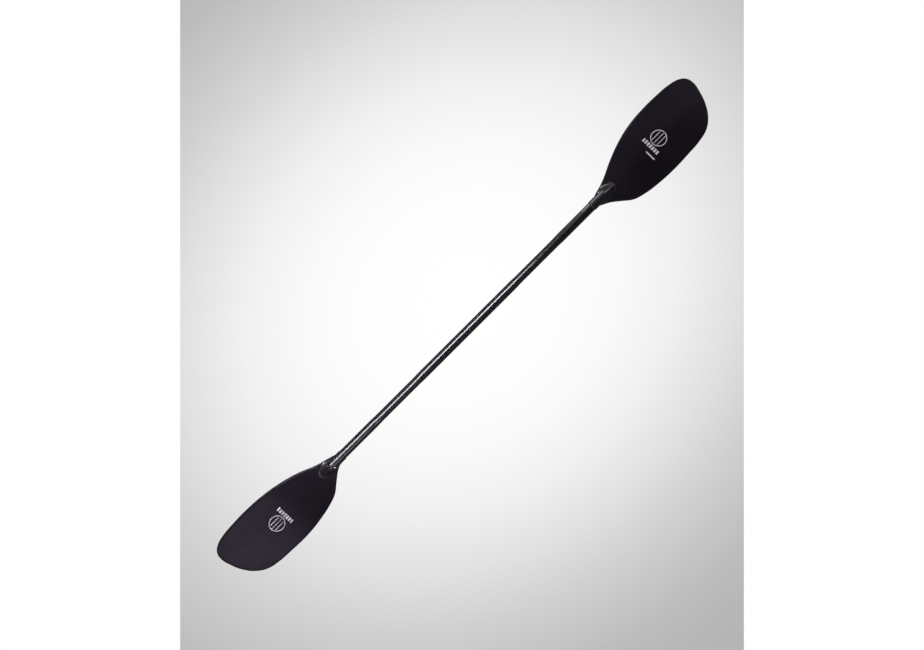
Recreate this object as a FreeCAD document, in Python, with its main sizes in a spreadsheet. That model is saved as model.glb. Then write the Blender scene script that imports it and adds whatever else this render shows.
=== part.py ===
import FreeCAD, Part
import Sketcher
import math
import os

# A one-piece whitewater kayak paddle with two foam-core blades.
# +X runs along the shaft to the right blade, +Z is up, and the origin is on the shaft's axis at mid-length.
# The right blade is drawn flat, power face up, and then turned about X by half the feather.
# The left blade is its mirror image, turned the other way.

os.makedirs("parts", exist_ok=True)
doc = FreeCAD.newDocument("kayak_paddle")
X_AXIS = FreeCAD.Vector(1, 0, 0)

# ---------------------------------------------------------------- driving dimensions (mm, degrees)

SIZES = {
    "overall_length": 1970.0,
    "feather": 30.0,
    "tube_radius": 14.0,
    "tube_wall": 1.7,
    "oval_start": 185.0,
    "oval_end": 390.0,
    "oval_blend": 28.0,
    "oval_long": 14.8,
    "oval_short": 13.1,
    "blade_length": 467.0,
    "blade_half_width": 97.0,
    "socket_depth": 50.0,
    "socket_wall": 1.3,
    "bond_gap": 0.2,
    "skin": 1.2,
    "core_film": 0.05,
    "edge_thickness": 4.0,
    "edge_width": 3.2,
    "core_swell": 8.0,
    "dihedral": 4.0,
    "ridge_round": 10.0,
    "root_drop": 9.0,
    "spoon_rise": 24.0,
    "tip_rise": 4.0,
    "bulkhead_length": 25.0,
    "bulkhead_recess": 3.0,
    "vent_radius": 3.0,
    "print_thickness": 0.15,
    "roundel_distance": 797.0,
    "roundel_radius": 25.0,
    "roundel_line": 2.6,
    "strip_distance": 763.0,
    "strip_width": 64.0,
    "strip_height": 12.0,
    "bar_distance": 743.0,
    "bar_length": 35.0,
    "bar_height": 4.5,
}

sheet = doc.addObject("Spreadsheet::Sheet", "Params")
for row, (alias, value) in enumerate(SIZES.items(), start=1):
    sheet.set(f"A{row}", alias)
    sheet.set(f"B{row}", str(value))
    sheet.setAlias(f"B{row}", alias)
doc.recompute()


def size(alias):
    return float(getattr(sheet, alias))


MOUTH = size("overall_length") / 2 - size("blade_length")
MOUTH_CELLS = "(Params.overall_length / 2 - Params.blade_length)"
NECK_RADIUS = "(Params.tube_radius + Params.bond_gap + Params.socket_wall)"
SOCKET_RADIUS = "(Params.tube_radius + Params.bond_gap)"
TUBE_END = f"({MOUTH_CELLS} + Params.socket_depth)"

# ---------------------------------------------------------------- helpers

# Turns a circle or ellipse that is drawn in XY so that it faces along X with its long axis along Y.
ACROSS = FreeCAD.Rotation(FreeCAD.Vector(1, 1, 1), 120)
# The same with its long axis along Z.
UPRIGHT = FreeCAD.Rotation(X_AXIS, 90) * ACROSS
# Turns an upright cylinder so that it runs along X.
ALONG = FreeCAD.Rotation(FreeCAD.Vector(0, 1, 0), 90)


def bind(item, **formulas):
    """Set each property of item to an expression over the sheet's cells."""
    for name, formula in formulas.items():
        item.setExpression(name.replace("__", "."), formula)
    return item


def add(kind, name, **properties):
    item = doc.addObject(kind, name)
    for key, value in properties.items():
        setattr(item, key, value)
    return item


def rod(name, radius, start, length):
    """A cylinder along X from start."""
    item = add("Part::Cylinder", name)
    item.Placement = FreeCAD.Placement(FreeCAD.Vector(), ALONG)
    return bind(item, Radius=radius, Height=length, Placement__Base__x=start)


def cut(name, base, tool):
    return add("Part::Cut", name, Base=base, Tool=tool)


def fuse(name, *items):
    return add("Part::MultiFuse", name, Shapes=list(items))


def common(name, *items):
    return add("Part::MultiCommon", name, Shapes=list(items))


def oval(name, turn, at, long_half, short_half, height="0"):
    """An ellipse that faces along X, at the given place along it and height above it."""
    item = add("Part::Ellipse", name)
    item.Placement = FreeCAD.Placement(FreeCAD.Vector(), turn)
    bind(item, Placement__Base__x=at, Placement__Base__z=height)
    return bind(item, MajorRadius=long_half, MinorRadius=short_half)


def smooth(t):
    """0 to 1 with level ends."""
    t = min(max(t, 0.0), 1.0)
    return t * t * (3 - 2 * t)


def turned(item, formula):
    """Turn a finished piece about the shaft's axis by an angle worked out from the feather."""
    item.Placement = FreeCAD.Placement(FreeCAD.Vector(), FreeCAD.Rotation(X_AXIS, 1))
    return bind(item, Placement__Rotation__Angle=formula)


nodes = []


def node(item, label):
    item.Label = label
    nodes.append(item)
    return item


# ---------------------------------------------------------------- shaft: a round tube, oval under each hand

BLEND_STEPS = 7


def grip_blend(name, inset, round_at, oval_at):
    """The run from the round tube at one place to the full oval at another."""
    ovals = []
    for i in range(BLEND_STEPS + 1):
        t = i / BLEND_STEPS
        place = f"({round_at}) * {1 - t:.5f} + ({oval_at}) * {t:.5f}"
        halves = [
            f"Params.tube_radius + {smooth(t):.5f} * (Params.{half} - Params.tube_radius) - {inset}"
            for half in ("oval_long", "oval_short")
        ]
        ovals.append(oval(f"{name}_oval{i}", UPRIGHT, place, *halves))
    return add("Part::Loft", name, Sections=ovals, Solid=True, Ruled=False)


def grip_zone(name, side, inset):
    """The stretch under one hand: oval between two round ends, the long way square to its own blade."""
    ends = {"near": ("Params.oval_start", 1), "far": ("Params.oval_end", -1)}
    oval_from = {key: f"{place} + {way} * Params.oval_blend" for key, (place, way) in ends.items()}
    blends = [
        grip_blend(f"{name}_{key}", inset, f"{side} * {place}", f"{side} * ({oval_from[key]})")
        for key, (place, way) in ends.items()
    ]
    start = oval_from["near"] if side > 0 else f"-({oval_from['far']})"
    halves = (f"Params.oval_long - {inset}", f"Params.oval_short - {inset}")
    section = oval(f"{name}_section", UPRIGHT, start, *halves)
    bar = add("Part::Extrusion", f"{name}_bar", Base=section, DirMode="Custom", Dir=X_AXIS, Solid=True)
    bind(bar, LengthFwd="Params.oval_end - Params.oval_start - 2 * Params.oval_blend")
    zone = fuse(name, blends[0], bar, blends[1])
    return turned(zone, f"{-side} * Params.feather / 2")


def tube_core(name, inset, overrun):
    """The solid inside the tube's outer wall, or inside its bore when inset by the wall."""
    radius = f"Params.tube_radius - {inset}"
    outer = f"{TUBE_END} - Params.oval_end + {overrun}"
    return fuse(
        name,
        rod(f"{name}_middle", radius, "-Params.oval_start", "2 * Params.oval_start"),
        grip_zone(f"{name}_right_grip", 1, inset),
        grip_zone(f"{name}_left_grip", -1, inset),
        rod(f"{name}_right_end", radius, "Params.oval_end", outer),
        rod(f"{name}_left_end", radius, f"-{TUBE_END} - {overrun}", outer),
    )


def shaft_tube():
    tube = cut("tube", tube_core("outer", "0", "0"), tube_core("bore", "Params.tube_wall", "1"))
    return node(tube, "shaft_tube")


shaft_tube()


def bulkhead():
    """A foam plug that closes the tube's end, so that the shaft stays dry and floats."""
    body = add("PartDesign::Body", "bulkhead")
    plane = next(f for f in body.Origin.OriginFeatures if f.Role == "YZ_Plane")
    sketch = body.newObject("Sketcher::SketchObject", "bulkhead_section")
    sketch.AttachmentSupport = [(plane, "")]
    sketch.MapMode = "FlatFace"
    sketch.addGeometry(Part.Circle(FreeCAD.Vector(), FreeCAD.Vector(0, 0, 1), 1))
    bind(sketch, AttachmentOffset__Base__z=f"{TUBE_END} - Params.bulkhead_recess - Params.bulkhead_length")
    sketch.addConstraint(Sketcher.Constraint("Coincident", 0, 3, -1, 1))
    sketch.addConstraint(Sketcher.Constraint("Radius", 0, 1))
    bind(sketch, **{"Constraints[1]": "Params.tube_radius - Params.tube_wall"})
    pad = body.newObject("PartDesign::Pad", "bulkhead_pad")
    pad.Profile = sketch
    bind(pad, Length="Params.bulkhead_length")
    return body


# ---------------------------------------------------------------- blade: heights of its faces
# s is the distance from the socket's mouth towards the tip, and y the distance above the centre line.

SPOON_FROM, SPOON_TO = 30.0, 270.0
SWELL_FROM, SWELL_START, SWELL_POWER = 60.0, 100.0, 1.8


def edge_height(s):
    """The spoon: level at the neck, then up to the power side, and still rising a little at the tip."""
    rise = size("spoon_rise") * smooth((s - SPOON_FROM) / (SPOON_TO - SPOON_FROM))
    return rise - size("root_drop") + size("tip_rise") * (max(s, 0) / size("blade_length")) ** 2


def power_height(s, y):
    """The power face: two flats that fall away from a rounded ridge down the middle."""
    ridge = size("ridge_round")
    fall = (math.hypot(y, ridge) - ridge) / (math.hypot(size("blade_half_width"), ridge) - ridge)
    return edge_height(s) + size("dihedral") * (1 - fall)


def back_height(s, y):
    """The back face: thin at the edge, swelling to the thick of the core."""
    across = 1 - min(abs(y) / size("blade_half_width"), 1) ** SWELL_POWER
    along = 1 - min(max((s - SWELL_FROM) / (size("blade_length") - SWELL_FROM), 0), 1) ** 2
    start = smooth((s - SWELL_FROM) / SWELL_START)
    return power_height(s, y) - size("edge_thickness") - size("core_swell") * across * along * start


GRID_ALONG = [-20 + 20 * i for i in range(27)]
GRID_ACROSS = [-112 + 14 * i for i in range(17)]
BLOCK_DEPTH = 90.0


def block(name, height, offset, direction):
    """The solid above (1) or below (-1) a curved face, over the whole blade."""
    rows = []
    for s in GRID_ALONG:
        rows.append([FreeCAD.Vector(MOUTH + s, y, height(s, y) + offset) for y in GRID_ACROSS])
    surface = Part.BSplineSurface()
    surface.interpolate(rows)
    solid = surface.toShape().extrude(FreeCAD.Vector(0, 0, direction * BLOCK_DEPTH))
    return add("Part::Feature", name, Shape=solid)


# ---------------------------------------------------------------- blade: outline and neck

# The outline, as (distance from the socket's mouth, distance above the centre line) in mm on a blade
# 467 long and 97 to each side: along the upper edge, round the slanted tip, and back along the lower edge.
OUTLINE = (
    (12, 12),
    (30, 18.5),
    (74, 32),
    (130, 57.5),
    (189, 79),
    (248, 92),
    (307, 96.7),
    (366, 96),
    (412, 92),
    (443, 83),
    (461, 68),
    (467, 45),
    (461, 12),
    (445, -30),
    (422, -62),
    (395, -81.5),
    (355, -91.5),
    (307, -95),
    (248, -97),
    (189, -93.6),
    (130, -83.5),
    (100, -72.5),
    (74, -52),
    (45, -29),
    (30, -21),
    (12, -12),
)
DRAWN_LENGTH, DRAWN_HALF_WIDTH = 467.0, 97.0
ARC_TOLERANCE = 0.1


def outline_sketch():
    along = size("blade_length") / DRAWN_LENGTH
    across = size("blade_half_width") / DRAWN_HALF_WIDTH
    points = [FreeCAD.Vector(MOUTH + s * along, y * across, 0) for s, y in OUTLINE]
    curve = Part.BSplineCurve()
    curve.interpolate(points)
    sketch = add("Sketcher::SketchObject", "blade_outline")
    for arc in curve.toBiArcs(ARC_TOLERANCE):
        sketch.addGeometry(arc)
    sketch.addGeometry(Part.LineSegment(points[-1], points[0]))
    return sketch


def prism(name, outline):
    item = add("Part::Extrusion", name, Base=outline, DirMode="Custom", Dir=FreeCAD.Vector(0, 0, 1))
    item.LengthFwd = BLOCK_DEPTH
    item.LengthRev = BLOCK_DEPTH
    item.Solid = True
    return item


# The neck's top drops into the power face just past the tube's end.
# Its bottom leaves the socket more slowly and runs out along the back face as a spine.
DROP_FROM, DROP_TO = 46.0, 106.0
SINK_LENGTH = 80.0
SPINE_FROM, SPINE_TO = 80.0, 300.0
DROP_NARROWING, SPINE_HALF_WIDTH = 4.0, 6.0
DROP_STEPS, SPINE_STEPS = 12, 10
NOSE_UNDER, SPINE_BURIED = 2.0, 2.0


def neck_section(s):
    """The neck's half width, top and bottom, at a distance from the mouth."""
    radius = size("tube_radius") + size("bond_gap") + size("socket_wall")
    drop = smooth((s - DROP_FROM) / (DROP_TO - DROP_FROM))
    run = smooth((s - SPINE_FROM) / (SPINE_TO - SPINE_FROM))
    sink = smooth((s - DROP_TO) / SINK_LENGTH)
    nose = power_height(s, 0) - NOSE_UNDER
    buried = (power_height(s, 0) + back_height(s, 0)) / 2
    top = radius + (nose + (buried - nose) * sink - radius) * drop
    bottom = -radius + (back_height(SPINE_TO, 0) + SPINE_BURIED + radius) * run
    narrowing = radius - DROP_NARROWING - SPINE_HALF_WIDTH
    half = radius - DROP_NARROWING * drop - narrowing * smooth((s - DROP_TO) / (SPINE_TO - DROP_TO))
    return half, top, bottom


def neck_run(name, start, end, steps):
    ovals = []
    for i in range(steps + 1):
        s = start + (end - start) * i / steps
        half, top, bottom = neck_section(s)
        place, middle = f"{MOUTH_CELLS} + {s:.2f}", f"{(top + bottom) / 2:.3f}"
        halves = (f"{half:.3f}", f"{(top - bottom) / 2:.3f}")
        ovals.append(oval(f"{name}_oval{i}", ACROSS, place, *halves, middle))
    return add("Part::Loft", name, Sections=ovals, Solid=True, Ruled=False)


def neck_solid():
    """The round socket, the drop past the tube's end, and the spine."""
    return fuse(
        "neck_solid",
        rod("neck_socket", NECK_RADIUS, MOUTH_CELLS, f"{DROP_FROM}"),
        neck_run("neck_drop", DROP_FROM, DROP_TO, DROP_STEPS),
        neck_run("neck_spine", DROP_TO, SPINE_TO, SPINE_STEPS),
    )


# ---------------------------------------------------------------- blade: skins, core, edge and glue line


def blade_pieces():
    skin, film = size("skin"), size("skin") + size("core_film")
    outline = outline_sketch()
    inset = add("Part::Offset2D", "inset_outline", Source=outline)
    bind(inset, Value="-Params.edge_width")
    whole, inner = prism("whole_plan", outline), prism("inner_plan", inset)
    under_power = block("under_power", power_height, 0, -1)
    over_back = block("over_back", back_height, 0, 1)
    under_film = block("under_power_film", power_height, -film, -1)
    over_film = block("over_back_film", back_height, film, 1)
    neck = neck_solid()
    bore = rod("socket_bore", SOCKET_RADIUS, f"{MOUTH_CELLS} - 5", "Params.socket_depth + 5")
    filling = common("filling", inner, under_film, over_film)
    power = common("power_sheet", inner, under_power, block("over_power_skin", power_height, -skin, 1))
    back = common("back_sheet", inner, over_back, block("under_back_skin", back_height, skin, -1))
    rim = cut("rim", common("plate", whole, under_power, over_back), inner)
    bond = cut(
        "bond",
        rod("bond_outside", SOCKET_RADIUS, MOUTH_CELLS, "Params.socket_depth"),
        rod("bond_inside", "Params.tube_radius", f"{MOUTH_CELLS} - 1", "Params.socket_depth + 2"),
    )
    return {
        "neck": cut("neck_shell", cut("neck_bored", neck, bore), filling),
        "power_face": cut("power_skin", power, neck),
        "back_face": cut("back_skin", back, neck),
        "foam_core": cut("core", filling, bore),
        "edge_rope": cut("rope", rim, neck),
        "bond_line": bond,
        "shaft_bulkhead": bulkhead(),
    }


# ---------------------------------------------------------------- printed marks: ring, row of blocks, bar

STRIP_BLOCKS, BLOCK_SHARE = 7, 0.66
WATER_LINES = (-0.42, 0.0, 0.42)
WATER_LINE_WIDTH = 2.2
BAR_OFFSET = -19.0


def plate_box(name, at, across, length, width):
    """A tall box over the blade, for printing a rectangle: length runs along the blade, width across it."""
    item = add("Part::Box", name, Length=length, Width=width, Height=2 * BLOCK_DEPTH)
    item.Placement.Base = FreeCAD.Vector(at - length / 2, across - width / 2, -BLOCK_DEPTH)
    return item


def disc(name, radius):
    item = add("Part::Cylinder", name, Height=2 * BLOCK_DEPTH)
    item.Placement.Base = FreeCAD.Vector(0, 0, -BLOCK_DEPTH)
    return bind(item, Radius=radius, Placement__Base__x="Params.roundel_distance")


def roundel():
    hole = disc("ring_inside", "Params.roundel_radius - Params.roundel_line")
    ring = cut("ring", disc("ring_outside", "Params.roundel_radius"), hole)
    radius, gap = size("roundel_radius"), 2 * size("roundel_line")
    lines = []
    for i, share in enumerate(WATER_LINES):
        reach = 2 * (math.sqrt(1 - share**2) * radius - gap)
        across = share * radius
        lines.append(plate_box(f"water_line{i}", size("roundel_distance"), across, reach, WATER_LINE_WIDTH))
    return fuse("roundel", ring, *lines)


def strip():
    pitch = size("strip_width") / STRIP_BLOCKS
    first = -size("strip_width") / 2 + pitch / 2
    place, length, width = size("strip_distance"), size("strip_height"), pitch * BLOCK_SHARE
    centres = [first + i * pitch for i in range(STRIP_BLOCKS)]
    blocks = [plate_box(f"strip_block{i}", place, y, length, width) for i, y in enumerate(centres)]
    return fuse("strip", *blocks)


def bar():
    return plate_box("bar", size("bar_distance"), BAR_OFFSET, size("bar_height"), size("bar_length"))


def print_pieces():
    ink = cut(
        "ink_layer",
        block("over_power", power_height, 0, 1),
        block("over_ink", power_height, size("print_thickness"), 1),
    )
    return {
        "roundel_print": common("roundel_ink", roundel(), ink),
        "strip_print": common("strip_ink", strip(), ink),
        "bar_print": common("bar_ink", bar(), ink),
    }


# ---------------------------------------------------------------- vent bead on each neck

VENT_DISTANCE = 43.0
VENT_SINK = 0.8
SEAT_REACH = 100


def vent_plug(name, side, angle):
    """A domed bead of resin that seals the vent hole in the socket, at an angle from the blade's normal."""
    bead = add("Part::Sphere", f"{name}_bead")
    bind(bead, Radius="Params.vent_radius")
    reach = size("tube_radius") + size("bond_gap") + size("socket_wall") - VENT_SINK
    turn = math.radians(angle)
    across, up = reach * math.sin(turn), reach * math.cos(turn)
    bead.Placement.Base = FreeCAD.Vector(side * (MOUTH + VENT_DISTANCE), across, up)
    seat = rod(f"{name}_seat", NECK_RADIUS, f"{side} * {MOUTH_CELLS} - {SEAT_REACH}", f"2 * {SEAT_REACH}")
    return node(turned(cut(name, bead, seat), f"{-side} * Params.feather / 2"), name)


# ---------------------------------------------------------------- the two blades

RIGHT_ONLY = ("bar_print",)
pieces = {**blade_pieces(), **print_pieces()}
for piece_name, piece in pieces.items():
    node(turned(piece, "-Params.feather / 2"), f"right_{piece_name}")
for piece_name, piece in pieces.items():
    if piece_name not in RIGHT_ONLY:
        twin = add("Part::Mirroring", f"left_{piece_name}", Source=piece, Normal=X_AXIS)
        node(turned(twin, "Params.feather"), f"left_{piece_name}")
vent_plug("right_vent_plug", 1, 70)
vent_plug("left_vent_plug", -1, -30)

# ---------------------------------------------------------------- check and write

doc.recompute()
for item in doc.Objects:
    if "Invalid" in item.State or "Error" in item.State:
        raise RuntimeError(f"{item.Name} did not build: {item.State}")
for item in nodes:
    shape = item.Shape
    if shape.isNull() or not shape.isValid() or not shape.Solids:
        raise RuntimeError(f"{item.Label} is not a valid solid")
for item in nodes:
    item.Shape.exportStep(f"parts/{item.Label}.step")
    print(f"{item.Label}: {len(item.Shape.Solids)} solid(s), {item.Shape.Volume / 1000:.2f} cm3")
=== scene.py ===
# %% [markdown]
# # A river paddle, piece by piece
# A kayak paddle is one hollow shaft with a blade at each end. The two blades are turned against
# each other, so that the one in the air cuts through the wind edge first. This lesson loads the
# engineering model, then builds a finer piece over each part of it that can be seen: the shaft, two
# necks, the blades' faces, the fibre rope round their edges, the printed marks and two small beads
# of resin. Parts that nobody sees keep the engineering model's own shape.

# %% Load the engineering model
import math

import bmesh
import bpy
from mathutils import Matrix, Vector


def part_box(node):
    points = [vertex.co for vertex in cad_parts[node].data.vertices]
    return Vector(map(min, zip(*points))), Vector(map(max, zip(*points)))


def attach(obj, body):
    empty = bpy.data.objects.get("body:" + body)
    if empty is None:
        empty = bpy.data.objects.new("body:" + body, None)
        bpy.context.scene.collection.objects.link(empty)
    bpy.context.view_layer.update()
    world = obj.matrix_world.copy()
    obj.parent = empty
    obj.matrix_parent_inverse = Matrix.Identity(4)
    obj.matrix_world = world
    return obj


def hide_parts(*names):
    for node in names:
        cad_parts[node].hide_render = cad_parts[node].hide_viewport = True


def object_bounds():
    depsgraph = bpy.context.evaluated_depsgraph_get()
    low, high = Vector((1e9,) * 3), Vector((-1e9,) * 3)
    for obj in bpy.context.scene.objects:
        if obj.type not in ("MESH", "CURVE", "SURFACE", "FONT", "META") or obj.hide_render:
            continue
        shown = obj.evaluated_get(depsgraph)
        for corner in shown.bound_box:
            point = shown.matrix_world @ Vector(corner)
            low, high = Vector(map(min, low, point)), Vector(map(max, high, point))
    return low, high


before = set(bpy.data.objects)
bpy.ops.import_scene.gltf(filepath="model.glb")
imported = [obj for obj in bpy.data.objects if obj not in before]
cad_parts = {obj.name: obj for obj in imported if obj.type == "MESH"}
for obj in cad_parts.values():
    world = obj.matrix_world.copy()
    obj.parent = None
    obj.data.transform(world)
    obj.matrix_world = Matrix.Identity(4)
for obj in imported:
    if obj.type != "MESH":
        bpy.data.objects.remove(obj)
model_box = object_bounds()
model_size = [round(v, 4) for v in model_box[1] - model_box[0]]
print("engineering model:", len(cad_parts), "nodes, box", model_size)

# %% [markdown]
# ## The camera
# The paddle lies across the view from the lower left to the upper right, seen from almost straight
# above. A long lens from far away keeps the two blades the same size. A camera can be turned with
# three angles, but here its own axes are known, so the turn is made from them: to the right, up,
# and back towards the camera.

# %% Place the camera
LEAN = math.radians(6.1)  # from straight above
SLANT = math.radians(44.92)  # of the shaft, above the view's horizontal
DISTANCE = 7.56
LENS_MM = 100
OFF_CENTRE = (-0.0158, 0.0158)  # the middle of the view, right of and above the paddle's middle

ALONG = Vector((1, 0, 0))
ASIDE = Vector((0, math.cos(LEAN), -math.sin(LEAN)))
BACK = Vector((0, math.sin(LEAN), math.cos(LEAN)))
RIGHT = math.cos(SLANT) * ALONG - math.sin(SLANT) * ASIDE
UP = math.sin(SLANT) * ALONG + math.cos(SLANT) * ASIDE

camera_data = bpy.data.cameras.new("camera")
camera_data.lens = LENS_MM
camera_data.clip_end = 100
camera = bpy.data.objects.new("camera", camera_data)
bpy.context.scene.collection.objects.link(camera)
camera_at = RIGHT * OFF_CENTRE[0] + UP * OFF_CENTRE[1] + BACK * DISTANCE
camera_turn = Matrix((RIGHT, UP, BACK)).transposed().to_4x4()
camera.matrix_world = Matrix.Translation(camera_at) @ camera_turn
bpy.context.scene.camera = camera
print("camera at", [round(v, 3) for v in camera_at])

# %% [markdown]
# ## The drawing's sizes
# The blade is drawn in millimetres from the mouth of its socket: s runs towards the tip, y across
# the blade and z out of its power face, the face that pulls the water. One function turns those
# three into a place on the object, in metres, for either blade. Writing it once means that no piece
# has to be turned or mirrored afterwards.

# %% Sizes, and where a point of the drawing goes
MM = 0.001
MOUTH = 518.0  # from the paddle's middle to a socket's mouth
FEATHER = 30.0  # degrees between the blades
TUBE_RADIUS, TUBE_WALL = 14.0, 1.7
SOCKET_DEPTH = 50.0
SOCKET_RADIUS, NECK_RADIUS = 14.2, 15.5
BLADE_LENGTH, HALF_WIDTH = 467.0, 97.0
SKIN = 1.2
SIDES = {"right": 1, "left": -1}


def turn_of(side):
    return math.radians(-side * FEATHER / 2)


def place(side, s, y, z):
    """A point of the blade's drawing, in millimetres, as a place on the object, in metres."""
    turn = turn_of(side)
    across = y * math.cos(turn) - z * math.sin(turn)
    out = y * math.sin(turn) + z * math.cos(turn)
    return Vector((side * (MOUTH + s), across, out)) * MM


def smooth(t):
    """From 0 to 1 with a soft start and end."""
    t = min(max(t, 0.0), 1.0)
    return t * t * (3 - 2 * t)


print("tip of the right blade at", [round(v, 4) for v in place(1, BLADE_LENGTH, 0, 0)])

# %% [markdown]
# ## The blade's heights
# A river blade is spooned along its length and has a dihedral: two flats that fall away from a
# rounded ridge, so that the water leaves evenly over both edges. The back swells over the foam
# core. These are the same curves as the engineering model's, so the finer faces lie exactly on its
# own.

# %% Heights of the two faces
SPOON_FROM, SPOON_TO, SPOON_RISE, ROOT_DROP, TIP_RISE = 30.0, 270.0, 24.0, 9.0, 4.0
DIHEDRAL, RIDGE_ROUND = 4.0, 10.0
EDGE_THICKNESS, CORE_SWELL = 4.0, 8.0
SWELL_FROM, SWELL_START, SWELL_POWER = 60.0, 100.0, 1.8


def below_ridge(y):
    return math.hypot(y, RIDGE_ROUND) - RIDGE_ROUND


def power_height(s, y):
    rise = SPOON_RISE * smooth((s - SPOON_FROM) / (SPOON_TO - SPOON_FROM))
    spoon = rise - ROOT_DROP + TIP_RISE * (max(s, 0) / BLADE_LENGTH) ** 2
    return spoon + DIHEDRAL * (1 - below_ridge(y) / below_ridge(HALF_WIDTH))


def back_height(s, y):
    across = 1 - min(abs(y) / HALF_WIDTH, 1) ** SWELL_POWER
    along = 1 - min(max((s - SWELL_FROM) / (BLADE_LENGTH - SWELL_FROM), 0), 1) ** 2
    start = smooth((s - SWELL_FROM) / SWELL_START)
    return power_height(s, y) - EDGE_THICKNESS - CORE_SWELL * across * along * start


for s in (0, 150, 300, BLADE_LENGTH):
    print(f"at {s:.0f} mm: power face {power_height(s, 0):.1f}, back {back_height(s, 0):.1f}")

# %% [markdown]
# ## The blade's outline
# One edge is longer than the other, because the blade enters the water at a slant. The outline is a
# Bezier curve with automatic handles through a few points, which is how it would be drawn by hand.
# Reading the curve back as a mesh gives a fine line of points, and the two corners split it into
# the upper edge, the tip and the lower edge. The fourth side, the root, is straight.

# %% Draw the outline and split it at its corners
UPPER = [(12, 12), (30, 18.5), (74, 32), (130, 57.5), (189, 79), (248, 92), (307, 96.7)]
UPPER += [(366, 96), (412, 92), (443, 83)]
UPPER_CORNER = (461, 68)
TIP = [(467, 45), (461, 12), (445, -30)]
LOWER_CORNER = (422, -62)
LOWER = [(395, -81.5), (355, -91.5), (307, -95), (248, -97), (189, -93.6), (130, -83.5)]
LOWER += [(100, -72.5), (74, -52), (45, -29), (30, -21), (12, -12)]
CURVE_STEPS = 16


def curve_points(corners):
    """The points of a smooth line through the corners, read from a curve that is then removed."""
    drawing = bpy.data.curves.new("outline", "CURVE")
    drawing.resolution_u = CURVE_STEPS
    spline = drawing.splines.new("BEZIER")
    spline.bezier_points.add(len(corners) - 1)
    for point, (s, y) in zip(spline.bezier_points, corners):
        point.co = (s, y, 0)
        point.handle_left_type = point.handle_right_type = "AUTO"
    holder = bpy.data.objects.new("outline", drawing)
    line = bpy.data.meshes.new_from_object(holder)
    points = [vert.co.copy() for vert in line.vertices]
    bpy.data.objects.remove(holder)
    bpy.data.curves.remove(drawing)
    bpy.data.meshes.remove(line)
    return points


outline = curve_points(UPPER + [UPPER_CORNER] + TIP + [LOWER_CORNER] + LOWER)
first = len(UPPER) * CURVE_STEPS
second = first + (len(TIP) + 1) * CURVE_STEPS
upper_edge = outline[: first + 1]
tip_edge = outline[first : second + 1][::-1]
lower_edge = outline[second:][::-1]
corners = [[round(v) for v in outline[i].xy] for i in (first, second)]
print("outline:", len(outline), "points, with its corners at", corners)

# %% [markdown]
# Each side is then walked by its own length, so that points spread evenly whatever the curve's own
# steps were.


# %% Walk along a side
def walk(side_points, share):
    """The point at a share of the side's length, from 0 to 1."""
    lengths = [(b - a).length for a, b in zip(side_points, side_points[1:])]
    left = share * sum(lengths)
    for start, end, length in zip(side_points, side_points[1:], lengths):
        if left <= length:
            return start.lerp(end, left / length)
        left -= length
    return side_points[-1].copy()


CELLS_ALONG, CELLS_ACROSS = 132, 72
upper_line = [walk(upper_edge, i / CELLS_ALONG) for i in range(CELLS_ALONG + 1)]
lower_line = [walk(lower_edge, i / CELLS_ALONG) for i in range(CELLS_ALONG + 1)]
tip_line = [walk(tip_edge, j / CELLS_ACROSS) for j in range(CELLS_ACROSS + 1)]
rim = upper_line + tip_line[::-1][1:] + lower_line[::-1][1:]
print("rim:", len(rim), "points round the blade")

# %% [markdown]
# The rope is laid inside the outline, so the faces stop a little short of it. Moving each point of
# the rim inwards, square to the line through its neighbours, gives the line where the faces end.


# %% Move a line inwards
def inwards(line, distance):
    """The line moved to its right by a distance, which is inwards for a rim that runs clockwise."""
    moved = []
    for i, point in enumerate(line):
        ahead = line[min(i + 1, len(line) - 1)] - line[max(i - 1, 0)]
        moved.append(point + Vector((ahead.y, -ahead.x, 0)).normalized() * distance)
    return moved


ROPE_WIDTH = 3.2
inner_rim = inwards(rim, ROPE_WIDTH)
upper_seam = inner_rim[: CELLS_ALONG + 1]
tip_seam = inner_rim[CELLS_ALONG : CELLS_ALONG + CELLS_ACROSS + 1][::-1]
lower_seam = inner_rim[CELLS_ALONG + CELLS_ACROSS :][::-1]
root_seam = [walk([lower_seam[0], upper_seam[0]], j / CELLS_ACROSS) for j in range(CELLS_ACROSS + 1)]
widest = max(point.y for point in upper_seam) - min(point.y for point in lower_seam)
print(f"the faces are {widest:.1f} mm wide between the ropes")

# %% [markdown]
# ## Turning a bmesh into a piece
# Every piece ends the same way: its shape goes into a mesh, the mesh into an object that stays at
# the origin and rides with the root body, the mesh takes its finish, and the nodes that it stands
# for are hidden. Smooth shading with sharp edges kept above an angle suits moulded and turned
# shapes alike. The box of each piece is compared with that of the nodes that it replaces. Three
# small helpers move a shape from the drawing to its place, turn its faces and give a sheet its
# thickness.

# %% Make an object, and compare it with the nodes it replaces
SHARP_ANGLE = math.radians(42)


def finish_piece(name, bm, finish, slot, *nodes):
    """An object at the origin from the bmesh, riding with the frame."""
    mesh = bpy.data.meshes.new(name)
    bmesh.ops.recalc_face_normals(bm, faces=bm.faces)
    bm.to_mesh(mesh)
    bm.free()
    mesh.shade_smooth()
    mesh.set_sharp_from_angle(angle=SHARP_ANGLE)
    mesh.materials.append(finish)
    piece = bpy.data.objects.new(name, mesh)
    bpy.context.scene.collection.objects.link(piece)
    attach(piece, "root")
    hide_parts(*nodes)
    compare(piece, nodes)
    return piece


def compare(piece, nodes):
    """Prints how far the piece's box is off the nodes' box, first its low corner, then its high one."""
    gaps = []
    for end, pick in enumerate((min, max)):
        for i in range(3):
            own = pick(vert.co[i] for vert in piece.data.vertices)
            gaps.append(round((own - pick(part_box(node)[end][i] for node in nodes)) / MM, 1))
    print(f"{piece.name}: {len(piece.data.polygons)} faces; its box is off the nodes' by {gaps} mm")


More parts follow.
